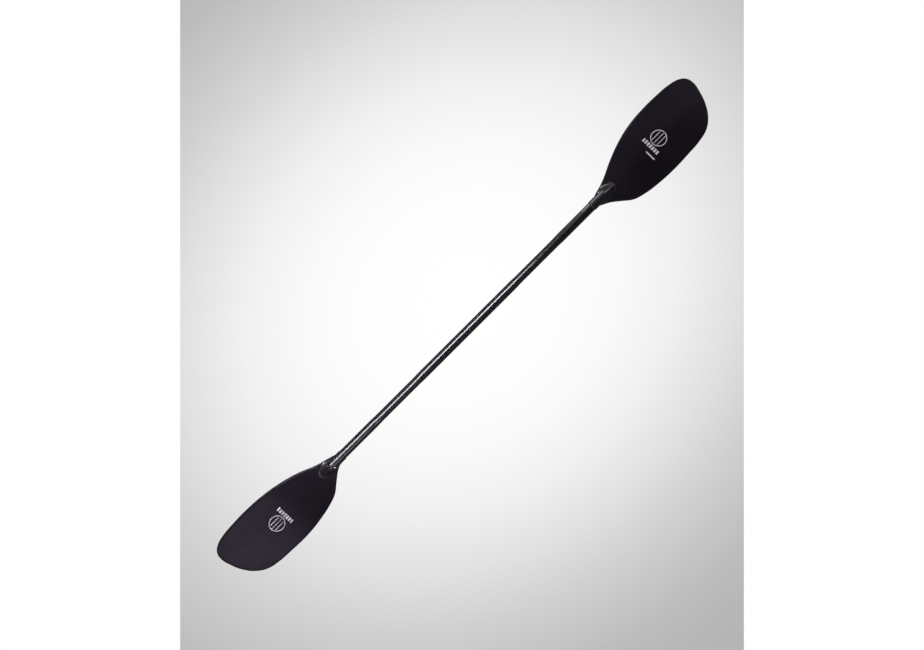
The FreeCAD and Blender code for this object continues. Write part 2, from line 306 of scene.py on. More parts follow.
def thicken(piece, name, thickness):
    """Gives a sheet a thickness in millimetres, on its inner side."""
    wall = piece.modifiers.new(name, "SOLIDIFY")
    wall.thickness = thickness * MM
    wall.offset = -1


def face_up(piece, up):
    """Turns the piece's faces so that together they look up, or down."""
    if (sum(face.normal.z * face.area for face in piece.data.polygons) > 0) != up:
        piece.data.flip_normals()


def put_in_place(bm, side):
    for vert in bm.verts:
        vert.co = place(side, *vert.co)


# %% [markdown]
# ## Small helpers for finishes
# A finish is a tree of shader nodes. Most of the patterns here are sums: which strand of the weave
# a point is on, and how high it stands there. A helper that adds one Math node and joins its inputs
# keeps such sums readable.


# %% Helpers that add shader nodes
class Tree:
    """The node tree of one material, with short ways to add and join nodes."""

    def __init__(self, name):
        self.material = bpy.data.materials.new(name)
        self.material.use_nodes = True
        self.nodes, self.links = self.material.node_tree.nodes, self.material.node_tree.links
        self.shader = self.nodes["Principled BSDF"]

    def put(self, socket, value):
        """Joins a socket to another node's output, or sets it to a plain value."""
        if isinstance(value, bpy.types.NodeSocket):
            self.links.new(value, socket)
        else:
            socket.default_value = value

    def add(self, kind, output=0, settings=None, **inputs):
        node = self.nodes.new(kind)
        for key, value in (settings or {}).items():
            setattr(node, key, value)
        for key, value in inputs.items():
            self.put(node.inputs[key.replace("_", " ")], value)
        return node.outputs[output]

    def sum(self, operation, a, b=0.0):
        node = self.nodes.new("ShaderNodeMath")
        node.operation = operation
        for socket, value in zip(node.inputs, (a, b)):
            self.put(socket, value)
        return node.outputs[0]

    def blend(self, share, a, b):
        """A colour or number between a and b."""
        node = self.nodes.new("ShaderNodeMix")
        node.data_type = "RGBA"
        self.put(node.inputs["Factor"], share)
        self.put(node.inputs[6], a)
        self.put(node.inputs[7], b)
        return node.outputs[2]

    def spread(self, value, low, high, to_low=0.0, to_high=1.0):
        ends = {"From_Min": low, "From_Max": high, "To_Min": to_low, "To_Max": to_high}
        return self.add("ShaderNodeMapRange", Value=value, **ends)

    def noise(self, where, scale, detail=2.0, stretch=None):
        if stretch:
            where = self.add("ShaderNodeMapping", Vector=where, Scale=stretch)
        return self.add("ShaderNodeTexNoise", Vector=where, Scale=scale, Detail=detail)

    def bump(self, height, depth, under=None):
        inputs = {"Height": height, "Distance": depth, "Strength": 1.0}
        if under:
            inputs["Normal"] = under
        return self.add("ShaderNodeBump", **inputs)

    def split(self, vector):
        node = self.nodes.new("ShaderNodeSeparateXYZ")
        self.put(node.inputs[0], vector)
        return node.outputs

    def here(self):
        return self.add("ShaderNodeTexCoord", output="Object")

    def drawn(self, name):
        """The piece's own map, in millimetres of cloth."""
        return self.add("ShaderNodeUVMap", settings={"uv_map": name})

    def look(self, **values):
        for key, value in values.items():
            self.put(self.shader.inputs[key.replace("_", " ")], value)


def grey(level, violet=0.0, warm=0.0):
    """A near neutral colour, leaning to violet or to yellow by a share."""
    return (level * (1 + violet + warm), level, level * (1 + 1.6 * violet - warm), 1.0)


# %% [markdown]
# ## Twill
# Carbon cloth for blades is a two-by-two twill: each flat tow goes over two others and under two,
# one step further along in every row, which makes the diagonal lines. Which tow is on top follows
# from the row and column numbers: their sum, counted in fours, is under two where the warp shows.
# Each tow is a low rounded ridge, and its fibres run along it.


# %% A twill pattern from two coordinates counted in tows
def twill(tree, across, along):
    """Gives which tows show (1 for the warp) and how high the cloth stands, from 0 to 1."""
    column, row = tree.sum("FLOOR", across), tree.sum("FLOOR", along)
    step = tree.sum("FLOORED_MODULO", tree.sum("ADD", column, row), 4.0)
    warp = tree.sum("LESS_THAN", step, 1.5)
    in_column = tree.sum("SUBTRACT", tree.sum("FRACT", across), 0.5)
    in_row = tree.sum("SUBTRACT", tree.sum("FRACT", along), 0.5)
    weft = tree.sum("SUBTRACT", 1.0, warp)
    shown = tree.sum("ADD", tree.sum("MULTIPLY", in_column, warp), tree.sum("MULTIPLY", in_row, weft))
    height = tree.sum("SUBTRACT", 1.0, tree.sum("MULTIPLY", tree.sum("MULTIPLY", shown, shown), 4.0))
    return warp, height


# %% [markdown]
# ## The blades' finish
# A wet-laid blade has a satin skin: the weave shows through a thin coat of resin that was sanded,
# so it shines softly and unevenly. The warp and the weft reflect differently, which is done with
# two roughnesses and with two close greys, a painted sheen. Each tow is also painted darker towards
# its edges, a painted shade in the weave's hollows. Fine scratches run mostly along the blade, and
# the skin is a little scuffed towards the tip, where it meets stones.

# %% Blade carbon
TOW = 2.0  # millimetres across
blade_tree = Tree("blade_carbon")
cloth = blade_tree.drawn("cloth")
cloth_s, cloth_y, _ = blade_tree.split(cloth)
warp, height = twill(
    blade_tree, blade_tree.sum("DIVIDE", cloth_s, TOW), blade_tree.sum("DIVIDE", cloth_y, TOW)
)
cloudy = blade_tree.noise(blade_tree.here(), 9.0, 3.0)
scratches = blade_tree.noise(cloth, 0.9, 4.0, stretch=(0.05, 1.0, 1.0))
scratched = blade_tree.spread(scratches, 0.62, 0.74)
near_tip = blade_tree.spread(cloth_s, 330.0, 470.0)
tip_scuff = blade_tree.sum("MULTIPLY", near_tip, blade_tree.spread(cloudy, 0.4, 0.7))
# Painted sheen: the warp and the weft get two close greys, as they would reflect differently.
tow_sheen_grey = blade_tree.blend(warp, grey(0.0034, 0.22), grey(0.0058, 0.22))
# Painted shade: each tow darker towards its edges, in the weave's hollows.
hollow_shade_grey = blade_tree.blend(blade_tree.spread(height, 0.0, 0.6), grey(0.0018, 0.2), tow_sheen_grey)
# Real scratches, laid over the painted sheen and shade.
worn_and_sheen_grey = blade_tree.blend(blade_tree.sum("MULTIPLY", scratched, 0.35), hollow_shade_grey, grey(0.014, 0.15))
blade_grey = blade_tree.blend(blade_tree.sum("MULTIPLY", tip_scuff, 0.4), worn_and_sheen_grey, grey(0.010, 0.15))
dull = blade_tree.spread(cloudy, 0.3, 0.7, 0.28, 0.38)
dull = blade_tree.sum("ADD", dull, blade_tree.sum("MULTIPLY", warp, 0.05))
dull = blade_tree.sum("ADD", dull, blade_tree.sum("MULTIPLY", scratched, 0.06))
grain = blade_tree.noise(blade_tree.here(), 900.0, 2.0)
weave_relief = blade_tree.bump(height, 0.00003)
satin_relief = blade_tree.bump(grain, 0.00001, under=weave_relief)
blade_tree.look(Base_Color=blade_grey, Roughness=dull, Normal=satin_relief, IOR=1.5)
blade_tree.look(Specular_IOR_Level=0.29, Specular_Tint=(1.0, 0.86, 1.12, 1.0))
BLADE_CARBON = blade_tree.material
print("blade carbon:", len(blade_tree.nodes), "nodes")

# %% [markdown]
# The necks are laid up by hand with extra cloth, and are left as they come out of the mould. They
# are a little glossier than the blades, and the dry grain of the outer layer shows as pale flecks.
# Their weave has the same painted sheen and painted shade as the blades'.

# %% Neck carbon
neck_tree = Tree("neck_carbon")
neck_cloth = neck_tree.drawn("cloth")
neck_s, neck_round, _ = neck_tree.split(neck_cloth)
warp, height = twill(
    neck_tree, neck_tree.sum("DIVIDE", neck_s, TOW), neck_tree.sum("DIVIDE", neck_round, TOW)
)
flecks = neck_tree.noise(neck_cloth, 0.55, 3.0, stretch=(0.5, 1.0, 1.0))
fleck = neck_tree.spread(flecks, 0.56, 0.70)
# Painted sheen: two close greys for the warp and the weft.
neck_grey = neck_tree.blend(warp, grey(0.0050, 0.1), grey(0.0085, 0.1))
# Painted shade: the tows darker towards their edges, in the weave's hollows.
neck_grey = neck_tree.blend(neck_tree.spread(height, 0.0, 0.6), grey(0.003, 0.1), neck_grey)
# Real pale flecks of dry grain, over the painted sheen and shade.
neck_grey = neck_tree.blend(neck_tree.sum("MULTIPLY", fleck, 0.5), neck_grey, grey(0.045))
neck_dull = neck_tree.spread(flecks, 0.35, 0.7, 0.35, 0.42)
neck_tree.look(Base_Color=neck_grey, Roughness=neck_dull, IOR=1.5)
neck_tree.look(Normal=neck_tree.bump(height, 0.00001))
neck_tree.look(Specular_IOR_Level=0.7, Coat_Weight=0.5, Coat_Roughness=0.16)
NECK_CARBON = neck_tree.material
print("neck carbon:", len(neck_tree.nodes), "nodes")

# %% [markdown]
# ## The shaft's finish
# The shaft is a braided sleeve pulled over a mandrel and set in resin, so its strands wind round at
# forty-five degrees both ways. Going once round the tube passes a whole number of strands, so the
# two slanted coordinates come from the angle round the tube plus and minus the distance along it.
# The resin is polished, so a clear coat goes on top. Under it the strands get a painted sheen,
# two close greys, and a painted shade towards their edges.

# %% Shaft carbon
STRANDS = 32
PITCH = 2 * math.pi * TUBE_RADIUS * MM  # one turn of the braid along the shaft, in metres
shaft_tree = Tree("shaft_carbon")
shaft_place = shaft_tree.here()
shaft_x, shaft_y, shaft_z = shaft_tree.split(shaft_place)
round_share = shaft_tree.sum("DIVIDE", shaft_tree.sum("ARCTAN2", shaft_z, shaft_y), 2 * math.pi)
along_share = shaft_tree.sum("DIVIDE", shaft_x, PITCH)
one_way = shaft_tree.sum("MULTIPLY", shaft_tree.sum("ADD", round_share, along_share), STRANDS)
other_way = shaft_tree.sum("MULTIPLY", shaft_tree.sum("SUBTRACT", round_share, along_share), STRANDS)
warp, height = twill(shaft_tree, one_way, other_way)
patches = shaft_tree.noise(shaft_place, 14.0, 3.0, stretch=(0.35, 1.0, 1.0))
rubbed = shaft_tree.noise(shaft_place, 60.0, 5.0, stretch=(0.12, 1.0, 1.0))
rubbed = shaft_tree.spread(rubbed, 0.60, 0.75)
# Painted sheen: two close greys for the two ways of the braid.
strand_sheen_grey = shaft_tree.blend(warp, grey(0.0050, 0.1), grey(0.0085, 0.1))
# Painted shade: the strands darker towards their edges.
braid_sheen_and_shade = shaft_tree.blend(shaft_tree.spread(height, 0.0, 0.7), grey(0.003, 0.1), strand_sheen_grey)
shaft_dull = shaft_tree.spread(patches, 0.3, 0.7, 0.26, 0.36)
shaft_dull = shaft_tree.sum("ADD", shaft_dull, shaft_tree.sum("MULTIPLY", rubbed, 0.14))
braid_relief = shaft_tree.bump(height, 0.000006)
shaft_tree.look(Base_Color=braid_sheen_and_shade, Roughness=shaft_dull, Normal=braid_relief, IOR=1.5)
shaft_tree.look(Coat_Weight=1.0, Coat_Roughness=0.07)
SHAFT_CARBON = shaft_tree.material
print("shaft carbon:", len(shaft_tree.nodes), "nodes")

# %% [markdown]
# ## The edge rope's finish
# Round the blade runs a twisted rope of tough fibre, soaked in the same resin. It wears where
# carbon would chip. Its strands lie at a slant, so the pattern is a wave along the rim that shifts
# with the way round the rope's section. The grooves between the strands are darker, a painted shade.

# %% Edge fibre
STRAND_PITCH, STRAND_SLANT = 3.4, 1.2  # millimetres along the rim; how far along for each one round
rope_tree = Tree("edge_fibre")
rope_run, rope_round, _ = rope_tree.split(rope_tree.drawn("cloth"))
lay = rope_tree.sum("ADD", rope_run, rope_tree.sum("MULTIPLY", rope_round, STRAND_SLANT))
lay = rope_tree.sum("DIVIDE", lay, STRAND_PITCH)
strand = rope_tree.sum("PINGPONG", lay, 0.5)
strand_height = rope_tree.spread(strand, 0.0, 0.32)
knocks = rope_tree.noise(rope_tree.here(), 38.0, 4.0)
knocked = rope_tree.spread(knocks, 0.60, 0.70)
# Painted shade: the grooves between the strands darker.
rope_grey = rope_tree.blend(strand_height, grey(0.003), grey(0.008, 0.08))
# Real knocks, paler, over the painted shade.
rope_grey = rope_tree.blend(rope_tree.sum("MULTIPLY", knocked, 0.5), rope_grey, grey(0.030, 0.05))
rope_dull = rope_tree.sum("ADD", 0.42, rope_tree.sum("MULTIPLY", knocked, 0.18))
rope_tree.look(Base_Color=rope_grey, Roughness=rope_dull, IOR=1.5)
rope_tree.look(Normal=rope_tree.bump(strand_height, 0.00006))
rope_tree.look(Coat_Weight=0.1, Coat_Roughness=0.3, Specular_IOR_Level=0.35)
EDGE_FIBRE = rope_tree.material
print("edge fibre:", len(rope_tree.nodes), "nodes")

# %% [markdown]
# ## Resin, ink, foam and glue
# The vent beads are milky white resin, glossy and a little cloudy. The marks are pale screen ink:
# it is thinner in the hollows of the weave, and rubbed here and there, so a fine noise takes some
# of it away. Foam and glue are inside, and get a finish all the same, because the model can be
# taken apart.

# %% Print ink
ink_tree = Tree("print")
ink_place = ink_tree.here()
thin = ink_tree.spread(ink_tree.noise(ink_place, 1300.0, 2.0), 0.38, 0.62)
rub = ink_tree.spread(ink_tree.noise(ink_place, 55.0, 4.0), 0.58, 0.75)
ink_grey = ink_tree.blend(thin, grey(0.76), grey(0.86))
ink_grey = ink_tree.blend(ink_tree.sum("MULTIPLY", rub, 0.2), ink_grey, grey(0.3))
ink_tree.look(Base_Color=ink_grey, Roughness=ink_tree.spread(thin, 0.0, 1.0, 0.58, 0.46))
ink_tree.look(Normal=ink_tree.bump(thin, 0.000003), IOR=1.45)
PRINT_INK = ink_tree.material

# %% Resin, glue and foam
resin_tree = Tree("resin")
swirl = resin_tree.noise(resin_tree.here(), 240.0, 3.0)
resin_white = resin_tree.blend(swirl, grey(0.55, warm=0.03), grey(0.80, warm=0.04))
resin_tree.look(Base_Color=resin_white, Roughness=resin_tree.spread(swirl, 0.3, 0.7, 0.16, 0.26))
resin_tree.look(IOR=1.5, Coat_Weight=0.6, Coat_Roughness=0.06)
RESIN = resin_tree.material

glue_tree = Tree("glue")
lumps = glue_tree.noise(glue_tree.here(), 400.0, 3.0)
glue_black = glue_tree.blend(lumps, grey(0.010, warm=0.05), grey(0.024, warm=0.08))
glue_tree.look(Base_Color=glue_black, Roughness=glue_tree.spread(lumps, 0.3, 0.7, 0.28, 0.42))
glue_tree.look(IOR=1.5, Normal=glue_tree.bump(lumps, 0.0001))
GLUE = glue_tree.material

foam_tree = Tree("foam")
cells = foam_tree.add("ShaderNodeTexVoronoi", Vector=foam_tree.here(), Scale=1400.0)
foam_yellow = foam_tree.blend(cells, grey(0.62, warm=0.06), grey(0.45, warm=0.09))
foam_tree.look(Base_Color=foam_yellow, Roughness=0.9, Normal=foam_tree.bump(cells, 0.0002))
FOAM = foam_tree.material
print("ink, resin, glue and foam are ready")

# %% [markdown]
# ## Rings of vertices
# The shaft and the necks are tubes whose section changes along the way. Such a tube starts as one
# circle of vertices. Extruding the circle from station to station keeps the vertices in line, so
# each new ring only has to be moved into its own section. The angle of each vertex is kept in a
# layer, which an extrusion copies, so it need not be worked out again.


# %% Extrude a circle from station to station
def edges_within(verts):
    """The edges that join two of these vertices."""
    members = set(verts)
    touching = {edge for vert in verts for edge in vert.link_edges}
    return [edge for edge in touching if set(edge.verts) <= members]


def extruded(bm, verts):
    """Extrudes the edges between these vertices, and gives the new vertices."""
    grown = bmesh.ops.extrude_edge_only(bm, edges=edges_within(verts))["geom"]
    return [item for item in grown if isinstance(item, bmesh.types.BMVert)]


def tube_of_rings(stations, section, segments):
    """A tube whose vertices are where section(station, angle) says; it is open at both ends."""
    bm = bmesh.new()
    angle = bm.verts.layers.float.new("angle")
    ring = bmesh.ops.create_circle(bm, radius=1, segments=segments)["verts"]
    for vert in ring:
        vert[angle] = math.atan2(vert.co.y, vert.co.x)
    for i, station in enumerate(stations):
        if i:
            ring = extruded(bm, ring)
        for vert in ring:
            vert.co = section(station, vert[angle])
    return bm


# %% [markdown]
# ## The shaft
# The shaft is round in the middle and at its ends, and slightly oval under each hand, so that the
# paddler feels which way the blade faces. The long way of the oval stands square to the blade on
# its own side. It could be lofted from a few curves, but rings make sure that the round stretches
# stay exactly round. The wall is added with a Solidify modifier.

# %% The shaft's rings
OVAL_START, OVAL_END, OVAL_BLEND = 185.0, 390.0, 28.0
OVAL_LONG, OVAL_SHORT = 14.8, 13.1
TUBE_END = MOUTH + SOCKET_DEPTH
LONG_STEP, BLEND_STEP = 20, 2.4  # between rings
TUBE_SEGMENTS = 96


def shaft_section(x, angle):
    """Where the shaft's skin is at x millimetres from its middle."""
    share = smooth(min(abs(x) - OVAL_START, OVAL_END - abs(x)) / OVAL_BLEND)
    turn = turn_of(1 if x > 0 else -1)
    y = (TUBE_RADIUS + (OVAL_SHORT - TUBE_RADIUS) * share) * math.cos(angle - turn)
    z = (TUBE_RADIUS + (OVAL_LONG - TUBE_RADIUS) * share) * math.sin(angle - turn)
    return Matrix.Rotation(turn, 3, "X") @ Vector((x, y, z)) * MM


def stations_between(runs):
    """Stations along a line: runs are (from, to, longest step)."""
    places = []
    for start, end, longest in runs:
        count = math.ceil((end - start) / longest)
        places += [start + (end - start) * i / count for i in range(count)]
    return places + [end]


turning_points = [0, OVAL_START, OVAL_START + OVAL_BLEND, OVAL_END - OVAL_BLEND, OVAL_END, TUBE_END]
steps = [LONG_STEP, BLEND_STEP, LONG_STEP, BLEND_STEP, LONG_STEP]
outwards = stations_between(zip(turning_points, turning_points[1:], steps))
shaft_stations = [-x for x in outwards[:0:-1]] + outwards
shaft_bm = tube_of_rings(shaft_stations, shaft_section, TUBE_SEGMENTS)
shaft = finish_piece("shaft", shaft_bm, SHAFT_CARBON, "shaft_carbon", "shaft_tube")
thicken(shaft, "wall", TUBE_WALL)

# %% [markdown]
# ## The neck
# The neck is moulded with the blade. It starts as a socket that the shaft is glued into, drops away
# in front of the shaft's end, and runs down the blade's back as a spine. Where it meets the blade's
# faces the mould leaves a rounded corner. A rounded corner between two pieces is hard to bevel, so
# here the neck's own rings flare out instead: a point that is closer to a face than the corner's
# radius is pushed sideways, by as much as a quarter circle would.

# %% The neck's section
DROP_FROM, DROP_TO, DROP_NARROWING, NOSE_UNDER, SINK_LENGTH = 46.0, 106.0, 4.0, 2.0, 80.0
SPINE_FROM, SPINE_TO, SPINE_HALF_WIDTH, SPINE_BURIED = 80.0, 300.0, 6.0, 2.0
CORNER_UNDER, CORNER_OVER = 6.0, 14.0  # the rounded corners' radius on the back and on the power face
CORNER_SHARE, CORNER_LEAST = 0.9, 0.5  # of the nose's height over the face, and in millimetres
CREST_PINCH, FOOT_PINCH = 0.72, 0.25  # how much the nose narrows at its crest and at its foot
SHOULDER = 2.6  # kept clear between the rounded corner and the outline
FLARE = 1.5  # how soon the flare sets in beside the top and bottom lines


def neck_oval(s):
    """Half the width, the top and the bottom of the neck at s."""
    drop = smooth((s - DROP_FROM) / (DROP_TO - DROP_FROM))
    run = smooth((s - SPINE_FROM) / (SPINE_TO - SPINE_FROM))
    nose = power_height(s, 0) - NOSE_UNDER
    buried = (power_height(s, 0) + back_height(s, 0)) / 2
    lowest = nose + (buried - nose) * smooth((s - DROP_TO) / SINK_LENGTH)
    top = NECK_RADIUS + (lowest - NECK_RADIUS) * drop
    bottom = -NECK_RADIUS + (back_height(SPINE_TO, 0) + SPINE_BURIED + NECK_RADIUS) * run
    narrowing = NECK_RADIUS - DROP_NARROWING - SPINE_HALF_WIDTH
    slimmer = narrowing * smooth((s - DROP_TO) / (SPINE_TO - DROP_TO))
    return NECK_RADIUS - DROP_NARROWING * drop - slimmer, top, bottom


def reach_at(s, hand):
    """How far the outline is from the centre line at s, above it (hand 1) or below it (hand -1)."""
    line = upper_line if hand > 0 else lower_line
    for before, after in zip(line, line[1:]):
        if before.x <= s <= after.x:
            return abs(before.lerp(after, (s - before.x) / (after.x - before.x)).y)
    return 0.0


REACH_END = int(SPINE_TO) + 1
REACH = {(s, hand): reach_at(s, hand) for s in range(REACH_END + 1) for hand in (1, -1)}


def reach(s, hand):
    low = int(s)
    return REACH[low, hand] + (REACH[min(low + 1, REACH_END), hand] - REACH[low, hand]) * (s - low)


def flared(s, y, z, lean):
    """The point pushed sideways where it nears a face, so that the neck runs out into it."""
    hand = 1 if y > 0 else -1
    over = z - power_height(s, y)
    under = back_height(s, y) - z
    gap = max(over, under, 0.0)
    corner = CORNER_UNDER
    if over > 0:
        ridge = max(neck_oval(s)[1] - power_height(s, 0), 0.01)
        share = min(over / ridge, 1.0)
        nose = smooth((s - DROP_FROM) / (DROP_TO - DROP_FROM))
        y *= 1 - nose * (FOOT_PINCH + (CREST_PINCH - FOOT_PINCH) * share)
        corner = max(min(CORNER_OVER, CORNER_SHARE * ridge), CORNER_LEAST)
    if gap >= corner:
        return y, z
    push = (corner - math.sqrt(corner**2 - (corner - gap) ** 2)) * lean
    push = min(push, max(reach(s, hand) - abs(y) - SHOULDER, 0.0))
    moved = y + hand * push
    if over > 0:
        return moved, power_height(s, moved) + over
    if under > 0:
        return moved, back_height(s, moved) - under
    return moved, z


def neck_section(s, angle):
    half, top, bottom = neck_oval(s)
    y, z = half * math.cos(angle), (top + bottom) / 2 + (top - bottom) / 2 * math.sin(angle)
    return flared(s, y, z, min(abs(math.cos(angle)) * FLARE, 1.0))


for s in (0, 90, 200):
    print(f"the neck at {s} mm: half its width, top and bottom {[round(v, 1) for v in neck_oval(s)]}")

# %% [markdown]
# The mouth of the socket has a small rounded lip, made from a few rings close together. The first
# of them lies inside, on the shaft, so the joint is closed. The last ring lies inside the blade,
# and gets a face of its own.

# %% Build the two necks
LIP = [(9.0, 14.04), (0.5, 14.04), (0.12, SOCKET_RADIUS), (0.0, 14.5)]  # each s and radius
LIP += [(0.0, 14.95), (0.16, 15.25), (0.5, 15.44), (1.0, NECK_RADIUS)]
NECK_RUNS = [(2.0, 20.0, 3.0), (20.0, 130.0, 1.4), (130.0, SPINE_TO, 3.4)]
NECK_SEGMENTS = 120
INSIDE_BLADE = 200.0  # the last ring is beyond this, the first is not
neck_stations = LIP + [(s, None) for s in stations_between(NECK_RUNS)]


def build_neck(name, side):
    def section(station, angle):
        s, radius = station
        if radius is None:
            return place(side, s, *neck_section(s, angle))
        return place(side, s, radius * math.cos(angle), radius * math.sin(angle))

    bm = tube_of_rings(neck_stations, section, NECK_SEGMENTS)
    far_x = (MOUTH + INSIDE_BLADE) * MM
    ends = [edge for edge in bm.edges if edge.is_boundary and abs(edge.verts[0].co.x) > far_x]
    bmesh.ops.holes_fill(bm, edges=ends)
    lay_cloth(bm, lambda vert: (abs(vert.co.x) / MM - MOUTH, cloth_round(bm, vert)))
    finish_piece(f"{name}_neck_finish", bm, NECK_CARBON, "blade_carbon", f"{name}_neck")


def cloth_round(bm, vert):
    """Millimetres of cloth round the neck, from its lowest line."""
    angle = vert[bm.verts.layers.float["angle"]]
    return NECK_RADIUS * math.remainder(angle + math.pi / 2, 2 * math.pi)


def lay_cloth(bm, where):
    """Writes the piece's own map of its cloth, in millimetres, with no face torn across the seam."""
    layer = bm.loops.layers.uv.new("cloth")
    seam = math.pi * NECK_RADIUS
    for face in bm.faces:
        spots = [where(loop.vert) for loop in face.loops]
        wrapped = max(spot[1] for spot in spots) - min(spot[1] for spot in spots) > seam * 1.5
        for loop, (along, across) in zip(face.loops, spots):
            loop[layer].uv = (along, across + (2 * seam if wrapped and across < 0 else 0))


for name, side in SIDES.items():
    build_neck(name, side)

# %% [markdown]
# ## The blade's faces
# Each face is one thin skin of carbon. A grid of squares is laid out flat and then pulled to the
# four sides of the outline: each vertex takes the blend of the two sides it lies between, minus the
# blend of the corners, which is how a sheet stretched in a frame would lie. After that its height
# is set. A face made by filling the outline would have long thin triangles, and they would show in
# the reflections.

# %% Stretch a grid over the blade
FACE_FROM = 96.0  # before this the neck's inside is kept free
INSIDE_NECK = 1.4  # how deep inside the neck's skin a face must be to be left out


def stretched(u, v):
    """The point inside the seam's frame at two shares from 0 to 1, along and across."""
    i, j = round(u * CELLS_ALONG), round(v * CELLS_ACROSS)
    ruled = lower_seam[i].lerp(upper_seam[i], v) + root_seam[j].lerp(tip_seam[j], u)
    corners = lower_seam[0].lerp(lower_seam[-1], u).lerp(upper_seam[0].lerp(upper_seam[-1], u), v)
    return ruled - corners


def inside_neck(s, y, z):
    if s > FACE_FROM:
        return False
    half, top, bottom = neck_oval(s)
    middle, rise = (top + bottom) / 2, (top - bottom) / 2
    return (y / (half - INSIDE_NECK)) ** 2 + ((z - middle) / (rise - INSIDE_NECK)) ** 2 < 1


def build_skin(name, side, label, height):
    bm = bmesh.new()
    bmesh.ops.create_grid(bm, x_segments=CELLS_ALONG, y_segments=CELLS_ACROSS, size=1)
    for vert in bm.verts:
        flat = stretched((vert.co.x + 1) / 2, (vert.co.y + 1) / 2)
        vert.co = (flat.x, flat.y, height(flat.x, flat.y))
    hidden = [face for face in bm.faces if all(inside_neck(*vert.co) for vert in face.verts)]
    bmesh.ops.delete(bm, geom=hidden, context="FACES")
    lay_cloth(bm, lambda vert: (vert.co.x, vert.co.y))
    put_in_place(bm, side)
    sheet = f"{name}_{label}"
    piece = finish_piece(f"{sheet}_skin", bm, BLADE_CARBON, "blade_carbon", f"{sheet}_face")
    face_up(piece, label == "power")
    thicken(piece, "skin", SKIN)


for name, side in SIDES.items():
    build_skin(name, side, "power", power_height)
    build_skin(name, side, "back", back_height)

# %% [markdown]
# ## The edge rope
# The rope fills the gap between the two faces, and is rounded over outside. Its section is a short
# list of steps: how far in from the outline, and how high between the back (-1) and the front (1).
# The rim's line of vertices is extruded once for each step, and the last line is joined to the
# first to close the section.

# %% Build the rope round each blade
ROUND_STEPS = 10
ROUNDING = 1.8  # how far in from the outline the rounding starts
STEP_ROUND = 1.1  # millimetres of the rope's surface for each step, near enough
rounding = [math.radians(90 - 180 * i / ROUND_STEPS) for i in range(ROUND_STEPS + 1)]
rope_profile = [(ROPE_WIDTH, 1.0)]
rope_profile += [(ROUNDING * (1 - math.cos(angle)), math.sin(angle)) for angle in rounding]
rope_profile += [(ROPE_WIDTH, -1.0)]


def rim_line(bm, run):
    """The rim's points as a line of vertices that know how far along it they are."""
    line, length = [], 0.0
    for i, point in enumerate(rim):
        vert = bm.verts.new(point)
        length += (point - rim[i - 1]).length if i else 0.0
        vert[run] = length
        line.append(vert)
    for before, after in zip(line, line[1:]):
        bm.edges.new((before, after))
    return line


def build_rope(name, side):
    bm = bmesh.new()
    run = bm.verts.layers.float.new("run")
    girth = bm.verts.layers.float.new("girth")
    line = front = rim_line(bm, run)
    for step, (inset, level) in enumerate(rope_profile):
        if step:
            line = sorted(extruded(bm, line), key=lambda vert: vert[run])
        for vert, flat in zip(line, inwards(rim, inset)):
            top, bottom = power_height(flat.x, flat.y), back_height(flat.x, flat.y)
            vert.co = (flat.x, flat.y, (top + bottom) / 2 + level * (top - bottom) / 2)
            vert[girth] = step * STEP_ROUND
    bmesh.ops.bridge_loops(bm, edges=edges_within(front) + edges_within(line))
    hidden = [face for face in bm.faces if all(inside_neck(*vert.co) for vert in face.verts)]
    bmesh.ops.delete(bm, geom=hidden, context="FACES")
    bmesh.ops.delete(bm, geom=[vert for vert in bm.verts if not vert.link_faces], context="VERTS")
    bmesh.ops.holes_fill(bm, edges=[edge for edge in bm.edges if edge.is_boundary])
    lay_cloth(bm, lambda vert: (vert[run], vert[girth]))
    put_in_place(bm, side)
    finish_piece(f"{name}_rope", bm, EDGE_FIBRE, "edge_fibre", f"{name}_edge_rope")


for name, side in SIDES.items():
    build_rope(name, side)

# %% [markdown]
# ## The printed marks
# The marks are a plain ring with three water lines, a strip of blocks and, on the right blade only,
# a short bar. Ink has hardly any thickness, but it is laid as a real thin piece just above the
# power face and follows its curve, so it keeps its place in any view.

# %% Lay ink on the power face
INK_OVER, INK_THICKNESS = 0.03, 0.12
ROUNDEL_AT, ROUNDEL_RADIUS, ROUNDEL_LINE = 797 - MOUTH, 25.0, 2.6
WATER_LINES, WATER_LINE_WIDTH = (-0.42, 0.0, 0.42), 2.2
STRIP_AT, STRIP_WIDTH, STRIP_HEIGHT, STRIP_BLOCKS, BLOCK_SHARE = 763 - MOUTH, 64.0, 12.0, 7, 0.66
BAR_AT, BAR_ACROSS, BAR_LENGTH, BAR_HEIGHT = 743 - MOUTH, -19.0, 35.0, 4.5
INK_STEP, RING_SEGMENTS = 2.0, 120


def add_rectangle(bm, s, y, along, across):
    """A flat rectangle of small squares round (s, y)."""
    counts = [max(1, round(size / INK_STEP)) for size in (along, across)]
    made = bmesh.ops.create_grid(bm, x_segments=counts[0], y_segments=counts[1], size=0.5)["verts"]
    bmesh.ops.scale(bm, vec=(along, across, 1), verts=made)
    bmesh.ops.translate(bm, vec=(s, y, 0), verts=made)


def add_ring(bm, s, radius, line):
    """A flat ring round (s, 0), its line drawn inside the radius."""
    made = bmesh.ops.create_circle(bm, radius=radius - line, segments=RING_SEGMENTS)["verts"]
    outer = extruded(bm, made)
    bmesh.ops.scale(bm, vec=(radius / (radius - line), radius / (radius - line), 1), verts=outer)
    bmesh.ops.translate(bm, vec=(s, 0, 0), verts=made + outer)


def lay_ink(name, side, label, bm):
    """Lifts a flat mark onto the power face and gives it the ink's thickness."""
    for vert in bm.verts:
        vert.co.z = power_height(vert.co.x, vert.co.y) + INK_OVER + INK_THICKNESS
    put_in_place(bm, side)
    piece = finish_piece(f"{name}_{label}", bm, PRINT_INK, "print", f"{name}_{label}_print")
    face_up(piece, True)
    thicken(piece, "ink", INK_THICKNESS)


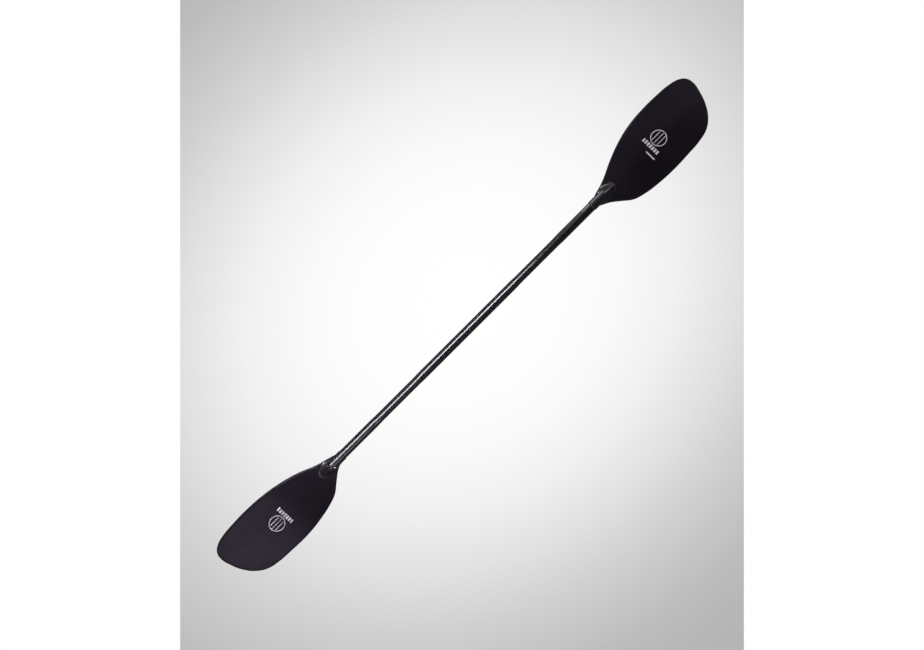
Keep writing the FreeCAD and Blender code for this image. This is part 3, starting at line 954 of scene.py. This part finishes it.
for name, side in SIDES.items():
    marks = bmesh.new()
    add_ring(marks, ROUNDEL_AT, ROUNDEL_RADIUS, ROUNDEL_LINE)
    for share in WATER_LINES:
        length = 2 * (math.sqrt(1 - share**2) * ROUNDEL_RADIUS - 2 * ROUNDEL_LINE)
        add_rectangle(marks, ROUNDEL_AT, share * ROUNDEL_RADIUS, length, WATER_LINE_WIDTH)
    lay_ink(name, side, "roundel", marks)
    marks = bmesh.new()
    pitch = STRIP_WIDTH / STRIP_BLOCKS
    for i in range(STRIP_BLOCKS):
        block_y = (i - (STRIP_BLOCKS - 1) / 2) * pitch
        add_rectangle(marks, STRIP_AT, block_y, STRIP_HEIGHT, pitch * BLOCK_SHARE)
    lay_ink(name, side, "strip", marks)
marks = bmesh.new()
add_rectangle(marks, BAR_AT, BAR_ACROSS, BAR_HEIGHT, BAR_LENGTH)
lay_ink("right", 1, "bar", marks)

# %% [markdown]
# ## The vent beads
# A small hole in each neck lets the air out while the shaft is glued in, and a bead of resin closes
# it. The bead is a drop that has sagged: a ball pressed flatter towards the neck, half sunk in it.

# %% Build the beads
VENT_AT, VENT_RADIUS, VENT_OUT, BEAD_FLATTENING = 43.0, 3.0, 14.7, 0.85
VENT_ANGLES = {"right": math.radians(70), "left": math.radians(-30)}
for name, side in SIDES.items():
    bm = bmesh.new()
    drop = bmesh.ops.create_uvsphere(bm, u_segments=32, v_segments=20, radius=VENT_RADIUS)["verts"]
    bmesh.ops.scale(bm, vec=(1, 1, BEAD_FLATTENING), verts=drop)
    bmesh.ops.rotate(bm, matrix=Matrix.Rotation(-VENT_ANGLES[name], 3, "X"), verts=drop)
    centre = (VENT_AT, VENT_OUT * math.sin(VENT_ANGLES[name]), VENT_OUT * math.cos(VENT_ANGLES[name]))
    bmesh.ops.translate(bm, vec=centre, verts=drop)
    put_in_place(bm, side)
    finish_piece(f"{name}_vent_bead", bm, RESIN, "resin", f"{name}_vent_plug")

# %% [markdown]
# ## The glue line
# When the shaft is pushed home, glue squeezes out at the mouth and is wiped into a small fillet.
# The sleeve of glue between the tube and the socket is a piece of its own in the engineering model,
# so the fillet belongs to it.

# %% Build the glue sleeves with their fillets
FILLET = [(49.8, 14.02), (49.8, 14.16), (0.3, 14.16), (-0.1, 14.62)]  # each s and radius
FILLET += [(-0.35, 14.42), (-0.8, 14.2), (-1.6, 14.06), (-1.9, 14.01)]


def fillet_section(station, angle):
    s, radius = station
    return Vector((s, radius * math.cos(angle), radius * math.sin(angle)))


for name, side in SIDES.items():
    bm = tube_of_rings(FILLET, fillet_section, TUBE_SEGMENTS)
    put_in_place(bm, side)
    finish_piece(f"{name}_glue_line", bm, GLUE, "glue", f"{name}_bond_line")

# %% [markdown]
# ## What stays as it is
# The foam cores and the plugs that close the tube's ends are inside. Their engineering shapes are
# kept, and only their finish is set.

# %% Finish the hidden nodes
hidden_nodes = [f"{name}_{part}" for name in SIDES for part in ("foam_core", "shaft_bulkhead")]
for node in hidden_nodes:
    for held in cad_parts[node].material_slots:
        held.material = FOAM
print("foam on", ", ".join(hidden_nodes))

# %% [markdown]
# ## Floor, room and light
# A black, glossy object is lit by what it mirrors. The room above is dark, so the blades stay
# black, and one long narrow lamp beside the paddle draws the bright line along the round shaft. It
# ends before the right blade, and the line fades there. A broad soft lamp on the other side lifts
# the left blade, which is turned towards it, and weaker ones light the right blade, its neck and
# its marks. Far below lies a panel between white margins. It glows by itself with a painted pool of
# light, brightest in the middle and greyer outwards, and is seen from above only.

# %% The floor
FLOOR_DROP, FLOOR_SIZE = 1.5, 40.0
floor_bm = bmesh.new()
bmesh.ops.create_grid(floor_bm, x_segments=4, y_segments=4, size=FLOOR_SIZE / 2)
bmesh.ops.translate(floor_bm, vec=(0, 0, -FLOOR_DROP), verts=floor_bm.verts)
floor_mesh = bpy.data.meshes.new("floor")
floor_bm.to_mesh(floor_mesh)
floor_bm.free()
floor = bpy.data.objects.new("floor", floor_mesh)
bpy.context.scene.collection.objects.link(floor)
floor.visible_glossy = floor.visible_diffuse = False  # nothing shows its glow but the view itself


def fill_ramp(ramp, stops):
    """Sets a colour ramp to these places and grey levels."""
    for stop, _ in stops[2:]:
        ramp.elements.new(stop)
    for element, (stop, level) in zip(ramp.elements, stops):
        element.position, element.color = stop, grey(level)


floor_tree = Tree("floor")
floor_x, floor_y, _ = floor_tree.split(floor_tree.here())
# The painted pool of light: an oval glow, brightest in the middle and greyer outwards.
GLOW_CENTRE, GLOW_WIDTH, GLOW_REACH = 0.07, 1.19, 2.4  # an oval of light along the paddle
glow_x = floor_tree.sum("SUBTRACT", floor_x, GLOW_CENTRE)
glow_y = floor_tree.sum("MULTIPLY", floor_tree.sum("ADD", floor_y, GLOW_CENTRE), GLOW_WIDTH)
glow_xx = floor_tree.sum("MULTIPLY", glow_x, glow_x)
glow_yy = floor_tree.sum("MULTIPLY", glow_y, glow_y)
far = floor_tree.sum("SQRT", floor_tree.sum("ADD", glow_xx, glow_yy))
fade = floor_tree.nodes.new("ShaderNodeValToRGB")
floor_tree.put(fade.inputs["Fac"], floor_tree.sum("DIVIDE", far, GLOW_REACH))
STOPS = [(0.0, 1.0), (0.147, 0.99), (0.25, 0.95), (0.34, 0.88), (0.44, 0.76)]
STOPS += [(0.54, 0.63), (0.66, 0.51), (0.75, 0.465), (1.0, 0.44)]
fill_ramp(fade.color_ramp, STOPS)
PANEL_HALF = 0.994  # half the panel's width, in metres
run_x = floor_tree.sum("MULTIPLY", floor_x, RIGHT.x)
run_y = floor_tree.sum("MULTIPLY", floor_y, RIGHT.y)
run = floor_tree.sum("ADD", run_x, run_y)
middle_run = FLOOR_DROP * RIGHT.z + OFF_CENTRE[0]
across = floor_tree.sum("ABSOLUTE", floor_tree.sum("SUBTRACT", run, middle_run))
nearer = floor_tree.sum("MULTIPLY", floor_y, PANEL_HALF * BACK.y / (DISTANCE + FLOOR_DROP * BACK.z))
outside = floor_tree.sum("GREATER_THAN", across, floor_tree.sum("SUBTRACT", PANEL_HALF, nearer))
shade = floor_tree.blend(outside, fade.outputs["Color"], grey(1.0))
# The panel glows with its painted pool of light, though it is no lamp.
glow = floor_tree.add("ShaderNodeEmission", Color=shade, Strength=1.0)
clear = floor_tree.add("ShaderNodeBsdfTransparent")
below = floor_tree.add("ShaderNodeNewGeometry", output="Backfacing")
shown = floor_tree.nodes.new("ShaderNodeMixShader")
for socket, source in zip(shown.inputs, (below, glow, clear)):
    floor_tree.put(socket, source)
floor_tree.links.new(shown.outputs[0], floor_tree.nodes["Material Output"].inputs["Surface"])
floor_mesh.materials.append(floor_tree.material)

# %% The room
world = bpy.data.worlds.new("room")
world.use_nodes = True
bpy.context.scene.world = world
room = world.node_tree
direction = room.nodes.new("ShaderNodeTexCoord")
parts = room.nodes.new("ShaderNodeSeparateXYZ")
room.links.new(direction.outputs["Generated"], parts.inputs[0])
ramp = room.nodes.new("ShaderNodeValToRGB")
room.links.new(parts.outputs["Z"], ramp.inputs["Fac"])
ROOM_STOPS = [(0.0, 0.12), (0.22, 0.12), (0.45, 0.06), (0.8, 0.03)]
BACKDROP = 0.80  # where the view passes the floor by
fill_ramp(ramp.color_ramp, ROOM_STOPS)
seen = room.nodes.new("ShaderNodeLightPath")
either = room.nodes.new("ShaderNodeMix")
either.data_type = "RGBA"
room.links.new(seen.outputs["Is Camera Ray"], either.inputs["Factor"])
room.links.new(ramp.outputs["Color"], either.inputs[6])
either.inputs[7].default_value = grey(BACKDROP)
room.links.new(either.outputs[2], room.nodes["Background"].inputs["Color"])


# %% The lamps
LAMP_TINT = (1.0, 0.92, 1.06)
LINE_HEIGHT, LINE_WIDTH, LINE_ASIDE = 0.36, 0.072, 27  # metres over the shaft, wide; degrees aside


def lamp(name, at, towards, size, watts):
    """A rectangular soft lamp; its first size runs along the paddle."""
    data = bpy.data.lights.new(name, "AREA")
    data.shape = "RECTANGLE"
    data.size, data.size_y = size
    data.energy = watts
    lit = bpy.data.objects.new(name, data)
    bpy.context.scene.collection.objects.link(lit)
    back = (at - towards).normalized()
    first = (ALONG - back * ALONG.dot(back)).normalized()
    turn = Matrix((first, back.cross(first), back)).transposed().to_4x4()
    lit.matrix_world = Matrix.Translation(at) @ turn
    data.color = LAMP_TINT
    lit.visible_camera = False


def beside(x, degrees, distance):
    """A place over the paddle, turned aside from the camera's line by some degrees."""
    a = math.radians(degrees)
    return ALONG * x + (BACK * math.cos(a) + ASIDE * math.sin(a)) * distance


def line_lamp(name, start, end, radiance):
    """One length of the long lamp beside the shaft."""
    middle, length = (start + end) / 2, end - start
    watts = radiance * math.pi * length * LINE_WIDTH
    lamp(name, beside(middle, LINE_ASIDE, LINE_HEIGHT), ALONG * middle, (length, LINE_WIDTH), watts)


# A line lamp has its two ends and its radiance; a lamp has its place, aim, size and watts.
LINE_FADES = 0.21  # metres from the paddle's middle
line_lamp("line_lamp", -0.64, LINE_FADES, 25)
line_lamp("line_lamp_end", LINE_FADES, 0.30, 13)
lamp("left_lamp", beside(-1.35, -40, 2.6), ALONG * -0.75, (1.6, 1.4), 13.5)
lamp("side_lamp", beside(0.6, 47, 2.4), ALONG * 0.5, (2.4, 2.3), 6.5)
lamp("neck_lamp", beside(0.68, 76, 0.7), ALONG * 0.6, (0.3, 0.45), 1.6)
right_end = ALONG * 2.1 + BACK * 1.5 + ASIDE * 0.5
lamp("right_end_lamp", right_end, ALONG * 0.75, (1.1, 0.9), 9)
bpy.context.scene.view_settings.view_transform = "Standard"
print("floor, room and lamps are in place")
